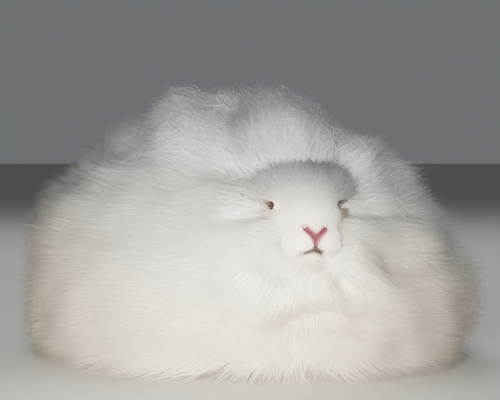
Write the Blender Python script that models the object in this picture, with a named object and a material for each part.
"""A life-size angora rabbit at rest, in a full show coat.

The rabbit sits along Y with its rump at +Y, and turns its head towards its own right, at -X.
+Z is up and the floor is at zero. Lengths are in metres and angles in degrees.
"""

import math
import random

import bmesh
import bpy
import numpy as np
from mathutils import Matrix, Vector

# The coat's outline, measured from its middle at COAT_MID over the floor
COAT_HALF_WIDTH = 0.214
COAT_HALF_LENGTH = 0.246
COAT_TOP = 0.258
COAT_MID = 0.080
COAT_LOWER_HEIGHT = 0.286
FLOOR_CLEARANCE = 0.0012

# The body under the coat, with the part of the wool that is too dense to show as locks
CORE_MIDDLE = Vector((0, 0.012, 0.098))
CORE_RADII = Vector((0.118, 0.158, 0.086))
NECK_MIDDLE = Vector((-0.036, -0.100, 0.114))
NECK_RADII = Vector((0.084, 0.076, 0.072))
THIGH_MIDDLE = Vector((0.080, 0.068, 0.062))
THIGH_RADII = Vector((0.048, 0.070, 0.054))
TAIL_MIDDLE = Vector((0, 0.166, 0.062))
TAIL_RADII = Vector((0.036, 0.032, 0.036))
TAIL_SIDE = Vector((0.034, 0.136, 0))
BELLY_LEVEL = 0.042

# The locks: how many there are places for, the size of each, the places of its sections from
# root to tip, and how far its tip lies past its root along the coat's lie
LOCK_COUNT = 192
LOCK_WIDTH = 0.056
LOCK_THICKNESS = 0.009
LOCK_SINK = 0.012
LOCK_RINGS = (0, 0.34, 0.64, 0.87)
LIE_SHIFT = 0.060
LOWEST_ROOT = BELLY_LEVEL + 0.010

# Aims below the floor down to here still give a lock, whose tip is lifted to the lowest tip
LOWEST_AIM = -0.036
LOWEST_TIP = 0.004

# The head: its nose tip, its turn, and its own sizes, from the nose tip backwards
NOSE_TIP = Vector((-0.096, -0.222, 0.132))
HEAD_TURN = -25
EYE_PLACE = Vector((0.0232, 0.046, 0.0235))
EYE_RADIUS = 0.0085
LID_THICKNESS = 0.0016

# The dense wool round the back of the head, in the head's own axes
HEAD_CORE_MIDDLE = Vector((0, 0.084, 0.012))
HEAD_CORE_RADII = Vector((0.050, 0.030, 0.054))

# Each ring of locks round the face: how many, how far out the tips are and how far behind the
# nose, how far forwards they leave the head, how far they droop, and how wide they are
HEAD_RINGS = (
    (11, 0.062, 0.042, 0.55, 0.012, 0.033),
    (10, 0.100, 0.040, 0.30, 0.026, 0.046),
    (9, 0.135, 0.056, 0.00, 0.034, 0.058),
)
HEAD_LOCK_THICKNESS = 0.007

# The tips of the upright locks between the ears, in the head's own axes
TOPKNOT_TIPS = ((-0.052, 0.104), (-0.027, 0.122), (0.000, 0.114), (0.026, 0.124), (0.050, 0.108))
TOPKNOT_DEPTH = 0.088
TOPKNOT_WIDTH = 0.036

# The ears, and how each stands from its root in the head's own axes
EAR_LENGTH = 0.100
EAR_WIDTH = 0.046
EAR_THICKNESS = 0.0024
EAR_BULB_RADIUS = 0.0105
EAR_ROOTS = {-1: Vector((-0.020, 0.078, 0.024)), 1: Vector((0.020, 0.078, 0.024))}
EAR_WAYS = {-1: Vector((-0.42, 0.36, 0.72)), 1: Vector((0.60, 0.60, 0.46))}

# Each lock of an ear's tassel: its place across the ear, and where it starts and ends along it
TASSEL = ((-0.9, 0.50, 1.18), (-0.30, 0.70, 1.36), (0.35, 0.66, 1.38), (0.9, 0.48, 1.20))
TASSEL_WIDTH = 0.019
TASSEL_THICKNESS = 0.006

# The feet, each with its flat sole on the floor
HIND_FOOT_LENGTH = 0.104
HIND_FOOT_WIDTH = 0.028
HIND_FOOT_HEIGHT = 0.026
HIND_FOOT_HEEL = Vector((0.084, 0.122, 0))
FORE_PAW = Vector((0.036, -0.106, 0))
FORE_PAW_LENGTH = 0.042
FORE_PAW_WIDTH = 0.026
FORE_PAW_HEIGHT = 0.022
TOE_COUNT = 4

# Touching pieces keep this gap
GAP = 0.0003

WOOL_WHITE = (0.86, 0.84, 0.80, 1)
SKIN_PINK = (0.80, 0.52, 0.50, 1)
EYE_RED = (0.30, 0.06, 0.06, 1)

SIDES = ((-1, "right"), (1, "left"))


def clear_scene():
    for obj in list(bpy.data.objects):
        bpy.data.objects.remove(obj)


def material(name, colour, roughness):
    made = bpy.data.materials.new(name)
    made.use_nodes = True
    shader = made.node_tree.nodes["Principled BSDF"]
    shader.inputs["Base Color"].default_value = colour
    shader.inputs["Roughness"].default_value = roughness
    shader.inputs["Metallic"].default_value = 0
    return made


def solid(name, points, faces):
    """One mesh object from points and faces, with its faces pointing out."""
    mesh = bpy.data.meshes.new(name)
    mesh.from_pydata([tuple(p) for p in points], [], [tuple(f) for f in faces])
    sheet = bmesh.new()
    sheet.from_mesh(mesh)
    bmesh.ops.remove_doubles(sheet, verts=sheet.verts, dist=1e-7)
    bmesh.ops.recalc_face_normals(sheet, faces=sheet.faces)
    bmesh.ops.triangulate(sheet, faces=sheet.faces)
    if sheet.calc_volume(signed=True) < 0:
        bmesh.ops.reverse_faces(sheet, faces=sheet.faces)
    sheet.to_mesh(mesh)
    sheet.free()
    obj = bpy.data.objects.new(name, mesh)
    bpy.context.scene.collection.objects.link(obj)
    return obj


def ball(name, middle, radii, segments=24, rings=14, turn=None):
    """An ellipsoid with its poles on its own Z axis."""
    sheet = bmesh.new()
    bmesh.ops.create_uvsphere(sheet, u_segments=segments, v_segments=rings, radius=1)
    place = Matrix.Translation(middle) @ (turn or Matrix()) @ Matrix.Diagonal((*radii, 1))
    bmesh.ops.transform(sheet, matrix=place, verts=sheet.verts)
    bmesh.ops.triangulate(sheet, faces=sheet.faces)
    if sheet.calc_volume(signed=True) < 0:
        bmesh.ops.reverse_faces(sheet, faces=sheet.faces)
    mesh = bpy.data.meshes.new(name)
    sheet.to_mesh(mesh)
    sheet.free()
    obj = bpy.data.objects.new(name, mesh)
    bpy.context.scene.collection.objects.link(obj)
    return obj


def room(name, walls, gap=0.0, reach=0.6):
    """The convex space inside some walls, each a point and its outward normal, grown by gap."""
    sheet = bmesh.new()
    bmesh.ops.create_cube(sheet, size=2 * reach)
    for point, normal in walls:
        out = Vector(normal).normalized()
        cut = bmesh.ops.bisect_plane(
            sheet,
            geom=sheet.verts[:] + sheet.edges[:] + sheet.faces[:],
            plane_co=Vector(point) + out * gap,
            plane_no=out,
            clear_outer=True,
        )
        rim = [e for e in cut["geom_cut"] if isinstance(e, bmesh.types.BMEdge)]
        bmesh.ops.contextual_create(sheet, geom=rim)
    bmesh.ops.recalc_face_normals(sheet, faces=sheet.faces)
    bmesh.ops.triangulate(sheet, faces=sheet.faces)
    mesh = bpy.data.meshes.new(name)
    sheet.to_mesh(mesh)
    sheet.free()
    obj = bpy.data.objects.new(name, mesh)
    bpy.context.scene.collection.objects.link(obj)
    return obj


def combine(obj, others, operation):
    """One Boolean of obj with a collection of closed solids, which are then removed."""
    group = bpy.data.collections.new("operands")
    bpy.context.scene.collection.children.link(group)
    for other in others:
        bpy.context.scene.collection.objects.unlink(other)
        group.objects.link(other)
    step = obj.modifiers.new("combine", "BOOLEAN")
    step.operand_type = "COLLECTION"
    step.collection = group
    step.operation = operation
    step.solver = "MANIFOLD"
    bpy.context.view_layer.objects.active = obj
    bpy.ops.object.modifier_apply(modifier=step.name)
    for other in others:
        bpy.data.objects.remove(other)
    bpy.data.collections.remove(group)
    return obj


def join(obj, *others):
    return combine(obj, others, "UNION")


def cut(obj, *others):
    for other in others:
        combine(obj, [other], "DIFFERENCE")
    return obj


def keep_inside(obj, other):
    return combine(obj, [other], "INTERSECT")


def keep_largest(obj):
    """Leaves the largest closed surface of a solid, so loose scraps and sealed hollows go."""
    sheet = bmesh.new()
    sheet.from_mesh(obj.data)
    bmesh.ops.triangulate(sheet, faces=sheet.faces)
    left = set(sheet.verts)
    shells = []
    while left:
        shell, queue = set(), [left.pop()]
        while queue:
            vert = queue.pop()
            shell.add(vert)
            for edge in vert.link_edges:
                other = edge.other_vert(vert)
                if other in left:
                    left.remove(other)
                    queue.append(other)
        shells.append(shell)
    shells.sort(key=span, reverse=True)
    scraps = [vert for shell in shells[1:] for vert in shell]
    bmesh.ops.delete(sheet, geom=scraps, context="VERTS")
    sheet.to_mesh(obj.data)
    sheet.free()
    return obj


def span(verts):
    places = np.array([v.co for v in verts])
    return float(np.prod(places.max(0) - places.min(0) + 1e-6))


def finish(obj, name, look):
    """Names a finished node, gives it its material and smooths its round faces."""
    obj.name = name
    obj.data.name = name
    obj.data.materials.clear()
    obj.data.materials.append(look)
    obj.data.shade_smooth()
    obj.data.set_sharp_from_angle(angle=math.radians(40))
    return obj


def head_frame():
    """Carries the head's own axes, with the nose tip at zero, to their place on the rabbit."""
    return Matrix.Translation(NOSE_TIP) @ Matrix.Rotation(math.radians(HEAD_TURN), 4, "Z")


def on_head(x, y, z):
    return head_frame() @ Vector((x, y, z))


def head_direction(x, y, z):
    return (head_frame().to_3x3() @ Vector((x, y, z))).normalized()


def coat_surface(direction):
    """The point of the coat's outline in a direction from its middle."""
    height = COAT_TOP - COAT_MID if direction.z > 0 else COAT_LOWER_HEIGHT
    scaled = Vector(
        (direction.x / COAT_HALF_WIDTH, direction.y / COAT_HALF_LENGTH, direction.z / height)
    )
    return Vector((0, 0, COAT_MID)) + direction / scaled.length


# The planes that part the head, the neck and the torso, each a point and its outward normal
HEAD_WALL = (on_head(0, 0.074, 0), head_direction(0.12, -0.89, 0.42))
CHIN_WALL = (on_head(0, 0.050, -0.042), head_direction(0, 0.60, -1))
NECK_WALL = (Vector((-0.014, -0.088, 0.11)), Vector((-0.10, -0.92, 0.36)).normalized())
FLOOR_WALL = (Vector((0, 0, FLOOR_CLEARANCE)), Vector((0, 0, -1)))
BIB_TOP = Vector((-0.036, -0.110, 0.078))


def flipped(wall):
    return wall[0], -wall[1]


def inside(walls, point):
    return all((point - place).dot(normal) < 0 for place, normal in walls)


def head_walls():
    return [flipped(HEAD_WALL), CHIN_WALL]


def bib_walls():
    """The space of the chest's wool, under the throat: a roof that falls to each side."""
    return [
        (BIB_TOP, Vector((0.50, 0, 1)).normalized()),
        (BIB_TOP, Vector((-0.50, 0, 1)).normalized()),
        (BIB_TOP, Vector((0, -0.90, 1)).normalized()),
    ]


def haunch_walls(side):
    """The space of one hind leg, which falls outwards as the wool over it does."""
    return [
        (Vector((side * 0.050, 0, 0)), Vector((-side, 0, 0))),
        (Vector((side * 0.050, 0, 0.132)), Vector((side * 0.48, 0, 1)).normalized()),
        (Vector((side * 0.050, 0.016, 0)), Vector((-side * 0.25, -1, 0)).normalized()),
        (Vector((side * (TAIL_SIDE.x + GAP), TAIL_SIDE.y, 0)), Vector((-side, 0.45, 0)).normalized()),
    ]


def tail_walls():
    """The space of the tail, a wedge that widens to the rear."""
    return [
        (Vector((0, TAIL_SIDE.y, 0)), Vector((0, -1, 0))),
        (Vector((0, TAIL_SIDE.y, 0.104)), Vector((0, 0.60, 1)).normalized()),
        (TAIL_SIDE, Vector((1, -0.45, 0)).normalized()),
        (Vector((-TAIL_SIDE.x, TAIL_SIDE.y, 0)), Vector((-1, -0.45, 0)).normalized()),
    ]


def foreleg_walls(side):
    """The space of one foreleg, under the chest."""
    return [
        (Vector((side * FORE_PAW.x + 0.019, 0, 0)), Vector((1, 0, 0))),
        (Vector((side * FORE_PAW.x - 0.019, 0, 0)), Vector((-1, 0, 0))),
        (Vector((0, FORE_PAW.y - 0.038, 0)), Vector((0, -1, 0))),
        (Vector((0, FORE_PAW.y + 0.040, 0)), Vector((0, 1, 0))),
        (Vector((0, 0, BELLY_LEVEL)), Vector((0, 0, 1))),
    ]


def front_space(grown):
    """The space of the head and neck: all in front of the shoulders but the chest's wool."""
    space = room("front", [flipped(NECK_WALL)], grown)
    return cut(space, room("bib", bib_walls(), -grown))


def node_at(point):
    """The name of the node whose space holds a point of the coat."""
    if inside(tail_walls(), point):
        return "tail"
    for side, word in SIDES:
        if inside(haunch_walls(side), point):
            return "hind_leg_" + word
    if inside([flipped(NECK_WALL)], point) and not inside(bib_walls(), point):
        return "head" if inside(head_walls(), point) else "neck"
    return "torso"


def body_core(name):
    """The body with its dense inner wool, flat under the belly."""
    form = ball(name, CORE_MIDDLE, CORE_RADII, 20, 13)
    return keep_inside(form, room("belly", [(Vector((0, 0, BELLY_LEVEL)), Vector((0, 0, -1)))]))


def head_core(name):
    turn = Matrix.Rotation(math.radians(HEAD_TURN), 4, "Z")
    return ball(name, on_head(*HEAD_CORE_MIDDLE), HEAD_CORE_RADII, 16, 10, turn)


def thigh_middle(side):
    return Vector((side * THIGH_MIDDLE.x, THIGH_MIDDLE.y, THIGH_MIDDLE.z))


def core_at(node):
    """The middle and the radii of the core that a node's locks grow from."""
    if node == "neck":
        return NECK_MIDDLE, NECK_RADII
    if node == "tail":
        return TAIL_MIDDLE, TAIL_RADII
    if node in ("hind_leg_right", "hind_leg_left"):
        return thigh_middle(-1 if node == "hind_leg_right" else 1), THIGH_RADII
    return CORE_MIDDLE, CORE_RADII


def core_root(middle, radii, way):
    """Where a line from an ellipsoid's middle leaves it, and its outward direction there."""
    scaled = Vector((way.x / radii.x, way.y / radii.y, way.z / radii.z))
    place = way / scaled.length
    normal = Vector((place.x / radii.x ** 2, place.y / radii.y ** 2, place.z / radii.z ** 2))
    return middle + place, normal.normalized()


def lie_at(node, tip):
    """The way that the wool lies, before it is laid on the surface."""
    if node == "neck":
        return Vector((math.copysign(0.7, tip.x - NECK_MIDDLE.x), 0.05, -1))
    return Vector((0, 0.45, -1))


def lock(root, outward, tip, facing, width, thickness, sink=LOCK_SINK):
    """A lock, flat towards where it faces, that leaves its root outwards and bends to its tip."""
    start = root - outward * sink
    bend = root + outward * (0.52 * (tip - root).length)
    wide = facing.cross(tip - bend).normalized()
    points = []
    for t in LOCK_RINGS:
        place = start * (1 - t) ** 2 + bend * (2 * t * (1 - t)) + tip * t ** 2
        along = ((bend - start) * (1 - t) + (tip - bend) * t).normalized()
        flat = wide.cross(along)
        half = width / 2 * (1 - t ** 2.6) * (0.75 + 0.5 * t)
        thin = thickness * (1 - t) ** 0.8 + 0.0006
        points += [place + wide * half, place + flat * thin, place - wide * half]
    points.append(tip)
    faces = [(2, 1, 0)]
    for ring in range(len(LOCK_RINGS) - 1):
        for corner in range(3):
            a, b = 3 * ring + corner, 3 * ring + (corner + 1) % 3
            faces.append((a, b, b + 3, a + 3))
    last = 3 * (len(LOCK_RINGS) - 1)
    faces += [(last + corner, last + (corner + 1) % 3, last + 3) for corner in range(3)]
    return solid("lock", points, faces)


def coat_places(count):
    """Places spread evenly over the coat's outline, from its top to just under the floor."""
    heights = np.linspace(COAT_TOP, LOWEST_AIM, 400)
    share = np.where(heights > COAT_MID, COAT_TOP - COAT_MID, COAT_LOWER_HEIGHT)
    wide = np.sqrt(1 - ((heights - COAT_MID) / share) ** 2)
    slant = np.hypot(np.diff(heights), np.diff(wide) * COAT_HALF_WIDTH)
    area = np.append(0, np.cumsum(slant * (wide[1:] + wide[:-1])))
    for i in range(count):
        place = area[-1] * (i + 0.5) / count
        z, out = np.interp(place, area, heights), np.interp(place, area, wide)
        turn = math.pi * (3 - math.sqrt(5)) * i
        yield Vector(
            (COAT_HALF_WIDTH * out * math.cos(turn), COAT_HALF_LENGTH * out * math.sin(turn), z)
        )


def body_locks(draw):
    """The locks of the coat behind the head, node by node."""
    locks = {}
    middle = Vector((0, 0, COAT_MID))
    for end in coat_places(LOCK_COUNT):
        way = (end - middle).normalized()
        tip = middle + (end - middle) * draw.uniform(0.97, 1.03)
        node = node_at(tip)
        if node == "head":
            continue
        tip.z = max(tip.z, LOWEST_TIP)
        lie = Matrix.Rotation(draw.uniform(-0.35, 0.35), 3, way) @ lie_at(node, tip)
        lie = (lie - way * lie.dot(way)).normalized()
        core_middle, core_radii = core_at(node)
        for share in (1, 0.6, 0.3, 0):
            place = tip - lie * (LIE_SHIFT * share)
            root, outward = core_root(core_middle, core_radii, (place - core_middle).normalized())
            root.z = max(root.z, LOWEST_ROOT)
            if node_at(root) == node:
                break
        width = LOCK_WIDTH * draw.uniform(0.88, 1.15)
        locks.setdefault(node, []).append(lock(root, outward, tip, way, width, LOCK_THICKNESS))
    return locks


def within_coat(point):
    """A point, drawn back to the coat's outline where it lies outside."""
    way = point - Vector((0, 0, COAT_MID))
    end = coat_surface(way.normalized())
    return end if way.length > (end - Vector((0, 0, COAT_MID))).length else point


def head_locks(draw):
    """The locks of the head, in rings round the face, in the head's own axes."""
    locks = []
    for count, tip_away, tip_depth, lean, droop, width in HEAD_RINGS:
        for step in range(count):
            turn = 2 * math.pi * (step + draw.uniform(-0.25, 0.25)) / count
            side, up = math.sin(turn), math.cos(turn)
            away = tip_away * draw.uniform(0.90, 1.10)
            fall = droop * draw.uniform(0.7, 1.2) * (1 + 0.6 * max(up, 0))
            depth = tip_depth - 0.022 * max(up, 0)
            tip = within_coat(on_head(side * away, depth, 0.006 + up * away * 1.12 - fall))
            way = Vector((side * math.cos(lean), -math.sin(lean), up * math.cos(lean)))
            root, outward = core_root(HEAD_CORE_MIDDLE, HEAD_CORE_RADII, way)
            root, outward = on_head(*root), head_direction(*outward)
            facing = head_direction(side * 0.3, -1, max(up, 0) * 0.9)
            locks.append(lock(root, outward, tip, facing, width, HEAD_LOCK_THICKNESS))
    for x, z in TOPKNOT_TIPS:
        way = Vector((x, 0, z)).normalized()
        root, outward = core_root(HEAD_CORE_MIDDLE, HEAD_CORE_RADII, way)
        root, outward = on_head(*root), head_direction(*outward)
        tip, facing = on_head(x, TOPKNOT_DEPTH, z), head_direction(0, -1, 0.3)
        locks.append(lock(root, outward, tip, facing, TOPKNOT_WIDTH, HEAD_LOCK_THICKNESS))
    return locks


def blended(places, masses, softness):
    """How far points lie outside some ellipsoids that melt into each other."""
    total = np.zeros(len(places))
    for middle, radii in masses:
        scaled = (places - np.array(middle)) / np.array(radii)
        length = np.linalg.norm(scaled, axis=1)
        away = (length - 1) * min(radii)
        total += np.exp(-away / softness)
    return -softness * np.log(np.maximum(total, 1e-300))


def both_sides(middle, radii):
    x, y, z = middle
    return [((x, y, z), radii), ((-x, y, z), radii)]


HEAD_MASSES = [
    ((0, 0.066, 0.018), (0.026, 0.030, 0.026)),
    ((0, 0.036, 0.010), (0.0190, 0.032, 0.0190)),
    ((0, 0.0085, -0.001), (0.0085, 0.0085, 0.0075)),
    ((0, 0.020, -0.018), (0.0110, 0.016, 0.0085)),
    *both_sides((0.0088, 0.0135, -0.0070), (0.0113, 0.0130, 0.0108)),
    *both_sides((0.0130, 0.056, -0.005), (0.0150, 0.024, 0.0200)),
    *both_sides((0.0188, 0.050, 0.0220), (0.0130, 0.019, 0.0155)),
]
HEAD_SOFTNESS = 0.0028
HEAD_CENTRE = np.array((0, 0.040, -0.002))


def head_flesh(name, around=24, along=17):
    """The head's own form, found along rays from its centre, with its poles at nose and nape."""
    directions = []
    for row in range(1, along):
        tilt = math.pi * (row / along) ** 1.15
        for step in range(around):
            turn = 2 * math.pi * step / around
            directions.append(
                (math.sin(tilt) * math.sin(turn), -math.cos(tilt), math.sin(tilt) * math.cos(turn))
            )
    directions += [(0, -1, 0), (0, 1, 0)]
    rays = np.array(directions)
    near, far = np.zeros(len(rays)), np.full(len(rays), 0.09)
    for _ in range(26):
        middle = (near + far) / 2
        outside = blended(HEAD_CENTRE + rays * middle[:, None], HEAD_MASSES, HEAD_SOFTNESS) > 0
        far = np.where(outside, middle, far)
        near = np.where(outside, near, middle)
    points = HEAD_CENTRE + rays * near[:, None]
    nose, nape = len(points) - 2, len(points) - 1
    faces = []
    for step in range(around):
        after = (step + 1) % around
        faces.append((nose, after, step))
        last = (along - 2) * around
        faces.append((nape, last + step, last + after))
        for row in range(along - 2):
            low, high = row * around, (row + 1) * around
            faces.append((low + step, low + after, high + after, high + step))
    return solid(name, [on_head(*p) for p in points], faces)


def plate(name, outline, near, far):
    """A flat shape in the head's own X and Z, made solid from near to far along its Y."""
    count = len(outline)
    points = [on_head(x, near, z) for x, z in outline] + [on_head(x, far, z) for x, z in outline]
    faces = [tuple(range(count)), tuple(range(2 * count - 1, count - 1, -1))]
    for i in range(count):
        after = (i + 1) % count
        faces.append((i, i + count, after + count, after))
    return solid(name, points, faces)


def mouth_cutters():
    """The line of the mouth, the split of the upper lip and the two slanted nostrils."""
    front, lip_top, lip_middle, lip_corner, half_gap = -0.01, -0.0135, -0.0175, -0.0215, 0.0006
    half_line = [(0.016, lip_corner), (0.009, lip_middle)]
    upper = [(-x, z) for x, z in half_line] + [(0, lip_top)] + half_line[::-1]
    line = [(x, z + half_gap) for x, z in upper] + [(x, z - half_gap) for x, z in reversed(upper)]
    split = [(-0.0007, -0.0035), (0.0007, -0.0035), (0.0009, lip_top), (-0.0009, lip_top)]
    slit = [(0.0012, -0.0042), (0.0082, 0.0012), (0.0086, 0.0026), (0.0010, -0.0026)]
    cutters = [plate("mouth", line, front, 0.020), plate("split", split, front, 0.0042)]
    for side in (-1, 1):
        cutters.append(plate("nostril", [(side * x, z) for x, z in slit], front, 0.0046))
    return cutters


def eye_axis(side):
    return head_direction(side * 0.88, -0.42, 0.14)


def eye_middle(side):
    return on_head(side * EYE_PLACE.x, EYE_PLACE.y, EYE_PLACE.z)


def lid_bulge(side):
    radius = EYE_RADIUS + GAP + LID_THICKNESS
    return ball("lid", eye_middle(side), (radius, radius, radius), 14, 8)


def lid_opening(side):
    """The almond gap between the lids, half shut, along the way that the eye looks."""
    axis = eye_axis(side)
    turn = axis.to_track_quat("Z", "Y").to_matrix().to_4x4()
    place = eye_middle(side) + axis * EYE_RADIUS
    return ball("opening", place, (0.0064, 0.0032, 0.006), 12, 6, turn)


def eye(side, name, look):
    ball_of_eye = ball("eye", eye_middle(side), (EYE_RADIUS,) * 3, 12, 8)
    return finish(ball_of_eye, name, look)


def eye_socket(side):
    radius = EYE_RADIUS + GAP
    return ball("socket", eye_middle(side), (radius,) * 3, 12, 8)


def make_head(locks, look):
    flesh = head_flesh("head")
    flesh = join(flesh, lid_bulge(-1), lid_bulge(1))
    flesh = cut(flesh, *mouth_cutters())
    flesh = join(flesh, head_core("head_core"), *locks)
    flesh = keep_inside(flesh, room("head_room", head_walls()))
    flesh = cut(flesh, eye_socket(-1), eye_socket(1), lid_opening(-1), lid_opening(1))
    flesh = cut(flesh, ear_room(-1, GAP), ear_room(1, GAP), ear_bulb(-1, GAP), ear_bulb(1, GAP))
    return finish(keep_largest(flesh), "head", look)


def ear_axes(side):
    """The ear's length, its width and the way that its open side faces."""
    along = head_direction(*EAR_WAYS[side])
    open_side = head_direction(side * 0.35, -0.93, 0.1)
    across = along.cross(open_side).normalized()
    open_side = across.cross(along).normalized()
    return along, across, open_side


def ear_room(side, grown=0.0, with_bulb=False):
    """The space of an ear and its fringe: it starts at the ear's root and leaves the coat."""
    along, across, open_side = ear_axes(side)
    root = on_head(*EAR_ROOTS[side])
    turn = Matrix((across, open_side, along)).transposed().to_4x4()
    radii = (0.035 + grown, 0.022 + grown, EAR_LENGTH * 0.82 + grown)
    space = ball("ear_room", root + along * EAR_LENGTH * 0.76, radii, 10, 7, turn)
    above_root = room("above_root", [(root + along * 0.004, -along)], grown)
    space = keep_inside(space, above_root)
    return join(space, ear_bulb(side, grown)) if with_bulb else space


def ear_bulb(side, grown=0.0):
    """The thick root of an ear, half sunk in the head."""
    radius = EAR_BULB_RADIUS + grown
    return ball("ear_bulb", on_head(*EAR_ROOTS[side]), (radius,) * 3, 10, 6)


def ear_half_width(t):
    """Half the blade's width from root to tip: narrow, then full, then round."""
    if t < 0.5:
        return EAR_WIDTH / 2 * (0.38 + 0.62 * math.sin(math.pi * t))
    return EAR_WIDTH / 2 * max(0.05, 1 - ((t - 0.5) / 0.5) ** 2.4) ** 0.5


def ear_blade(side):
    """A cupped blade, alike on its two faces."""
    along, across, open_side = ear_axes(side)
    root = on_head(*EAR_ROOTS[side])
    rows, columns = 7, 4
    front, back = [], []
    for row in range(rows + 1):
        t = row / rows
        half = ear_half_width(t)
        for column in range(columns + 1):
            s = 2 * column / columns - 1
            place = root + along * (t * EAR_LENGTH)
            place = place + across * (half * math.sin(s * 1.25) / math.sin(1.25))
            place = place + open_side * (0.55 * half * (s * s - 0.45))
            front.append(place + open_side * EAR_THICKNESS / 2)
            back.append(place - open_side * EAR_THICKNESS / 2)
    count, wide = len(front), columns + 1
    faces = []
    for row in range(rows):
        for column in range(columns):
            a = row * wide + column
            b, c, d = a + 1, a + wide + 1, a + wide
            faces += [(a, b, c), (a, c, d)]
            faces += [(a + count, c + count, b + count), (a + count, d + count, c + count)]
    edge = list(range(wide)) + [r * wide + columns for r in range(1, rows + 1)]
    edge += [rows * wide + c for c in range(columns - 1, -1, -1)]
    edge += [r * wide for r in range(rows - 1, 0, -1)]
    for i, a in enumerate(edge):
        b = edge[(i + 1) % len(edge)]
        faces.append((a, a + count, b + count, b))
    return solid("ear", front + back, faces)


def ear_tassel(side):
    """The long wool at the end of an ear, which leaves its back and rises past its tip."""
    along, across, open_side = ear_axes(side)
    root = on_head(*EAR_ROOTS[side])
    locks = []
    for s, start, reach in TASSEL:
        place = root + along * start * EAR_LENGTH + across * s * EAR_WIDTH * 0.3
        tip = root + along * reach * EAR_LENGTH + across * s * EAR_WIDTH * 0.62 + open_side * 0.004
        outward = (along * 0.93 - open_side * 0.28 + across * s * 0.25).normalized()
        locks.append(lock(place, outward, tip, open_side, TASSEL_WIDTH, TASSEL_THICKNESS, 0.008))
    return locks


def make_ear(side, name, look):
    ear = join(ear_blade(side), ear_bulb(side), *ear_tassel(side))
    ear = keep_inside(ear, ear_room(side, with_bulb=True))
    return finish(keep_largest(ear), name, look)


def make_neck(locks, look):
    neck = join(ball("neck", NECK_MIDDLE, NECK_RADII, 18, 11), *locks)
    neck = keep_inside(neck, room("neck_room", [flipped(NECK_WALL), FLOOR_WALL], -GAP))
    neck = cut(neck, room("head_room", head_walls(), GAP), room("bib", bib_walls(), GAP))
    neck = cut(neck, ear_room(-1, GAP), ear_room(1, GAP), ear_bulb(-1, GAP), ear_bulb(1, GAP))
    return finish(keep_largest(neck), "neck", look)


def make_torso(locks, look):
    torso = join(body_core("torso"), *locks)
    torso = keep_inside(torso, room("floor", [FLOOR_WALL]))
    spaces = [room("haunch", haunch_walls(side), GAP) for side in (-1, 1)]
    spaces += [room("foreleg", foreleg_walls(side), GAP) for side in (-1, 1)]
    spaces += [front_space(0), room("tail", tail_walls(), GAP)]
    torso = cut(torso, *spaces)
    torso = cut(torso, ear_room(-1, GAP), ear_room(1, GAP))
    return finish(keep_largest(torso), "torso", look)


def foot(heel, length, width, height, name):
    """A flat-soled foot that points forwards, with round toes side by side at its front."""
    middle = heel + Vector((0, -length * 0.45, height * 0.42))
    sole = ball(name, middle, (width / 2, length * 0.52, height * 0.62), 9, 6)
    toes = []
    for toe in range(TOE_COUNT):
        across = (toe - (TOE_COUNT - 1) / 2) * width / TOE_COUNT * 1.05
        reach = length * (0.90 - 0.03 * abs(toe - (TOE_COUNT - 1) / 2))
        place = heel + Vector((across, -reach, height * 0.34))
        toes.append(ball("toe", place, (width * 0.15, length * 0.10 + 0.004, height * 0.42), 6, 4))
    sole = join(sole, *toes)
    return keep_inside(sole, room("ground", [(Vector((0, 0, 0)), Vector((0, 0, -1)))]))


def make_hind_leg(side, name, locks, look):
    heel = Vector((side * HIND_FOOT_HEEL.x, HIND_FOOT_HEEL.y, 0))
    leg = foot(heel, HIND_FOOT_LENGTH, HIND_FOOT_WIDTH, HIND_FOOT_HEIGHT, "hind_foot")
    thigh = ball("thigh", thigh_middle(side), THIGH_RADII, 14, 9)
    haunch = join(body_core("haunch"), thigh, *locks)
    haunch = keep_inside(haunch, room("haunch_room", haunch_walls(side) + [FLOOR_WALL]))
    leg = join(haunch, leg)
    return finish(keep_largest(leg), name, look)


def make_foreleg(side, name, look):
    heel = Vector((side * FORE_PAW.x, FORE_PAW.y + FORE_PAW_LENGTH * 0.4, 0))
    leg = foot(heel, FORE_PAW_LENGTH, FORE_PAW_WIDTH, FORE_PAW_HEIGHT, "fore_paw")
    shin = ball("shin", heel + Vector((0, -0.006, 0.046)), (0.015, 0.017, 0.040), 8, 5)
    leg = join(leg, shin)
    top = (Vector((0, 0, BELLY_LEVEL - GAP)), Vector((0, 0, 1)))
    leg = keep_inside(leg, room("under_belly", [top]))
    return finish(keep_largest(leg), name, look)


def make_tail(locks, look):
    puff = ball("puff", TAIL_MIDDLE, TAIL_RADII, 12, 8)
    tail = join(body_core("tail"), puff, *locks)
    tail = keep_inside(tail, room("tail_room", tail_walls() + [FLOOR_WALL]))
    return finish(keep_largest(tail), "tail", look)


def centre():
    """Moves the whole rabbit so that the origin is at the middle of its box, on the floor."""
    meshes = [obj.data for obj in bpy.data.objects]
    places = np.array([v.co for mesh in meshes for v in mesh.vertices])
    middle = (places.min(0) + places.max(0)) / 2
    for mesh in meshes:
        mesh.transform(Matrix.Translation((-middle[0], -middle[1], 0)))


def build():
    clear_scene()
    wool = material("wool", WOOL_WHITE, 0.9)
    pink = material("ear_skin", SKIN_PINK, 0.7)
    red = material("eye", EYE_RED, 0.1)
    draw = random.Random(7)
    locks = body_locks(draw)
    make_torso(locks["torso"], wool)
    make_neck(locks["neck"], wool)
    make_head(head_locks(draw), wool)
    make_tail(locks["tail"], wool)
    for side, word in SIDES:
        eye(side, "eye_" + word, red)
        make_ear(side, "ear_" + word, pink)
        make_foreleg(side, "foreleg_" + word, wool)
        make_hind_leg(side, "hind_leg_" + word, locks["hind_leg_" + word], wool)
    centre()


build()
